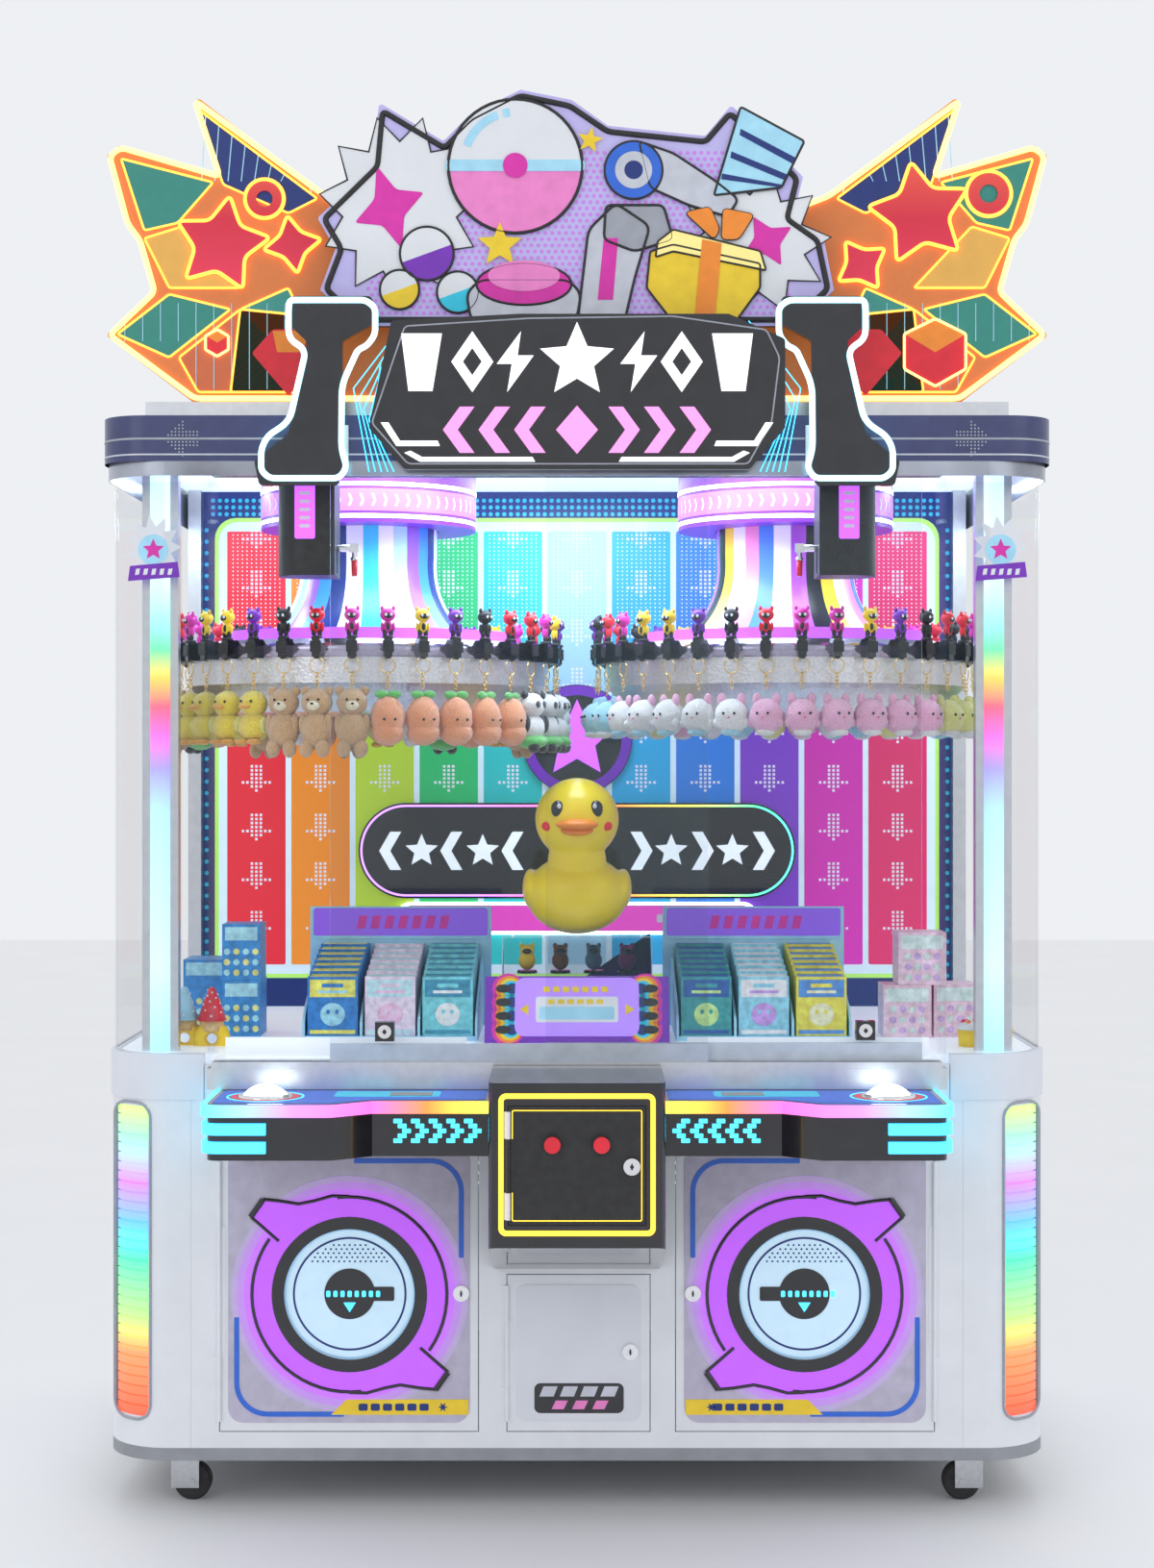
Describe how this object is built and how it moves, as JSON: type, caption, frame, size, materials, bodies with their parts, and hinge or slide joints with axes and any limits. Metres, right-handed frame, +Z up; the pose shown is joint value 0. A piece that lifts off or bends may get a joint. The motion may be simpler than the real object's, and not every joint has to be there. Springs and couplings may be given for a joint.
{
  "type": "two-player prize machine",
  "caption": "Tall lit cabinet with two hanging carousels of clipped plush toys, strikers, dome buttons, sliding glass doors and prize flaps.",
  "frame": {"origin": "on the floor, under the middle of the overall width and depth", "axes": "+X to the player's right, +Y to the rear, +Z up; the player stands on the -Y side"},
  "size_m": [1.878, 1.448, 2.7897],
  "materials": {
    "base_board": "painted plywood and square tube",
    "cabinet_white": "white laminated panel",
    "band_white": "satin white moulding",
    "floor_white": "white play floor",
    "sill_grey": "brushed sill",
    "deck_black": "gloss black",
    "light_acrylic": "lit diffuser",
    "rail_alu": "anodised",
    "glass_clear": "clear",
    "back_print": "printed colour stripes",
    "sign_black": "black sign faces",
    "ceiling_white": "white ceiling board",
    "roof_silver": "iridescent grey",
    "crown_purple": "purple drum",
    "carousel_silver": "hammered silver finish",
    "clip_black": "black clips",
    "plush_cloth": "short pile plush",
    "striker_black": "black housing",
    "striker_steel": "polished shaft",
    "marquee_board": "printed board",
    "marquee_black": "black board",
    "mount_grey": "mount bars",
    "rack_teal": "light rack",
    "box_card": "printed cartons",
    "display_purple": "printed display",
    "toy_yellow": "yellow toy",
    "hinge_steel": "hinge",
    "door_white": "printed door",
    "flap_blue": "light blue flap",
    "button_clear": "lit dome",
    "button_red": "red button",
    "caster_steel": "zinc plated",
    "caster_black": "black tread"
  },
  "bodies": {
    "cabinet": {"base_frame": "base_board", "front_panel": "cabinet_white", "corner_shells": "cabinet_white", "cabinet_panels": "cabinet_white", "corner_bands": "band_white", "play_floor": "floor_white", "prize_chutes": "floor_white", "front_sill": "sill_grey", "bay_rails": "rail_alu", "control_decks": "deck_black", "light_strips": "light_acrylic", "coin_box": "deck_black", "door_hinges": "hinge_steel", "cabinet_glass": "glass_clear", "corner_posts": "rail_alu", "corner_lights": "light_acrylic", "back_wall": "back_print", "back_sign": "sign_black", "roof_band": "roof_silver", "ceiling_panel": "ceiling_white", "carousel_crowns": "crown_purple", "striker_housings": "striker_black", "prize_racks": "rack_teal", "prize_boxes": "box_card", "center_display": "display_purple", "display_toy": "toy_yellow", "marquee_mounts": "mount_grey", "marquee_wings": "marquee_board", "marquee_center": "marquee_board", "marquee_title": "marquee_black", "marquee_hooks": "marquee_black", "caster_plates": "caster_steel"},
    "carousel_left": {"turntable_left": "carousel_silver", "clips_left": "clip_black", "plush_left": "plush_cloth"},
    "striker_left": {"striker_left": "striker_steel"},
    "glass_door_left": {"glass_door_left": "glass_clear"},
    "prize_door_left": {"prize_door_left": "door_white"},
    "prize_flap_left": {"prize_flap_left": "flap_blue"},
    "start_button_left": {"start_button_left": "button_clear"},
    "carousel_right": {"turntable_right": "carousel_silver", "clips_right": "clip_black", "plush_right": "plush_cloth"},
    "striker_right": {"striker_right": "striker_steel"},
    "glass_door_right": {"glass_door_right": "glass_clear"},
    "prize_door_right": {"prize_door_right": "door_white"},
    "prize_flap_right": {"prize_flap_right": "flap_blue"},
    "start_button_right": {"start_button_right": "button_clear"},
    "service_door": {"service_door": "door_white"},
    "coin_door": {"coin_door": "deck_black"},
    "coin_return_left": {"coin_return_left": "button_red"},
    "coin_return_right": {"coin_return_right": "button_red"},
    "fork_front_left": {"fork_front_left": "caster_steel"},
    "wheel_front_left": {"wheel_front_left": "caster_black"},
    "fork_front_right": {"fork_front_right": "caster_steel"},
    "wheel_front_right": {"wheel_front_right": "caster_black"},
    "fork_rear_left": {"fork_rear_left": "caster_steel"},
    "wheel_rear_left": {"wheel_rear_left": "caster_black"},
    "fork_rear_right": {"fork_rear_right": "caster_steel"},
    "wheel_rear_right": {"wheel_rear_right": "caster_black"}
  },
  "joints": [
    {"name": "carousel_left_spin", "type": "hinge", "parent": "cabinet", "child": "carousel_left", "pos_m": [-0.446, 0.104, 1.65], "axis": [0, 0, 1], "continuous": true},
    {"name": "striker_left_stroke", "type": "slide", "parent": "cabinet", "child": "striker_left", "axis": [0, 0, -1], "range_m": [0, 0.04]},
    {"name": "glass_door_left_slide", "type": "slide", "parent": "cabinet", "child": "glass_door_left", "axis": [1, 0, 0], "range_m": [-0.2, 0.4]},
    {"name": "prize_door_left_hinge", "type": "hinge", "parent": "cabinet", "child": "prize_door_left", "pos_m": [-0.704, -0.34, 0.44], "axis": [0, 0, -1], "range_deg": [0, 110]},
    {"name": "prize_flap_left_hinge", "type": "hinge", "parent": "prize_door_left", "child": "prize_flap_left", "pos_m": [-0.448, -0.311, 0.579], "axis": [1, 0, 0], "range_deg": [0, 57], "stiffness_Nm_per_rad": 0.5, "springref_deg": -11.46},
    {"name": "start_button_left_press", "type": "slide", "parent": "cabinet", "child": "start_button_left", "axis": [0, 0, -1], "range_m": [0, 0.006], "stiffness_N_per_m": 800, "springref_m": -0.004},
    {"name": "carousel_right_spin", "type": "hinge", "parent": "cabinet", "child": "carousel_right", "pos_m": [0.446, 0.104, 1.65], "axis": [0, 0, 1], "continuous": true},
    {"name": "striker_right_stroke", "type": "slide", "parent": "cabinet", "child": "striker_right", "axis": [0, 0, -1], "range_m": [0, 0.04]},
    {"name": "glass_door_right_slide", "type": "slide", "parent": "cabinet", "child": "glass_door_right", "axis": [1, 0, 0], "range_m": [-0.6, 0.03]},
    {"name": "prize_door_right_hinge", "type": "hinge", "parent": "cabinet", "child": "prize_door_right", "pos_m": [0.704, -0.34, 0.44], "axis": [0, 0, 1], "range_deg": [0, 110]},
    {"name": "prize_flap_right_hinge", "type": "hinge", "parent": "prize_door_right", "child": "prize_flap_right", "pos_m": [0.448, -0.311, 0.579], "axis": [1, 0, 0], "range_deg": [0, 57], "stiffness_Nm_per_rad": 0.5, "springref_deg": -11.46},
    {"name": "start_button_right_press", "type": "slide", "parent": "cabinet", "child": "start_button_right", "axis": [0, 0, -1], "range_m": [0, 0.006], "stiffness_N_per_m": 800, "springref_m": -0.004},
    {"name": "service_door_hinge", "type": "hinge", "parent": "cabinet", "child": "service_door", "pos_m": [-0.138, -0.34, 0.32], "axis": [0, 0, -1], "range_deg": [0, 90]},
    {"name": "coin_door_hinge", "type": "hinge", "parent": "cabinet", "child": "coin_door", "pos_m": [-0.1255, -0.716, 0.745], "axis": [0, 0, -1], "range_deg": [0, 100]},
    {"name": "coin_return_left_press", "type": "slide", "parent": "coin_door", "child": "coin_return_left", "axis": [0, 1, 0], "range_m": [0, 0.004], "stiffness_N_per_m": 300, "springref_m": -0.002},
    {"name": "coin_return_right_press", "type": "slide", "parent": "coin_door", "child": "coin_return_right", "axis": [0, 1, 0], "range_m": [0, 0.004], "stiffness_N_per_m": 300, "springref_m": -0.002},
    {"name": "fork_front_left_swivel", "type": "hinge", "parent": "cabinet", "child": "fork_front_left", "pos_m": [-0.8, -0.226, 0.095], "axis": [0, 0, 1], "continuous": true},
    {"name": "wheel_front_left_roll", "type": "hinge", "parent": "fork_front_left", "child": "wheel_front_left", "pos_m": [-0.772, -0.226, 0.0375], "axis": [0, 1, 0], "continuous": true},
    {"name": "fork_front_right_swivel", "type": "hinge", "parent": "cabinet", "child": "fork_front_right", "pos_m": [0.8, -0.226, 0.095], "axis": [0, 0, 1], "continuous": true},
    {"name": "wheel_front_right_roll", "type": "hinge", "parent": "fork_front_right", "child": "wheel_front_right", "pos_m": [0.772, -0.226, 0.0375], "axis": [0, 1, 0], "continuous": true},
    {"name": "fork_rear_left_swivel", "type": "hinge", "parent": "cabinet", "child": "fork_rear_left", "pos_m": [-0.8, 0.614, 0.095], "axis": [0, 0, 1], "continuous": true},
    {"name": "wheel_rear_left_roll", "type": "hinge", "parent": "fork_rear_left", "child": "wheel_rear_left", "pos_m": [-0.772, 0.614, 0.0375], "axis": [0, 1, 0], "continuous": true},
    {"name": "fork_rear_right_swivel", "type": "hinge", "parent": "cabinet", "child": "fork_rear_right", "pos_m": [0.8, 0.614, 0.095], "axis": [0, 0, 1], "continuous": true},
    {"name": "wheel_rear_right_roll", "type": "hinge", "parent": "fork_rear_right", "child": "wheel_rear_right", "pos_m": [0.772, 0.614, 0.0375], "axis": [0, 1, 0], "continuous": true}
  ]
}
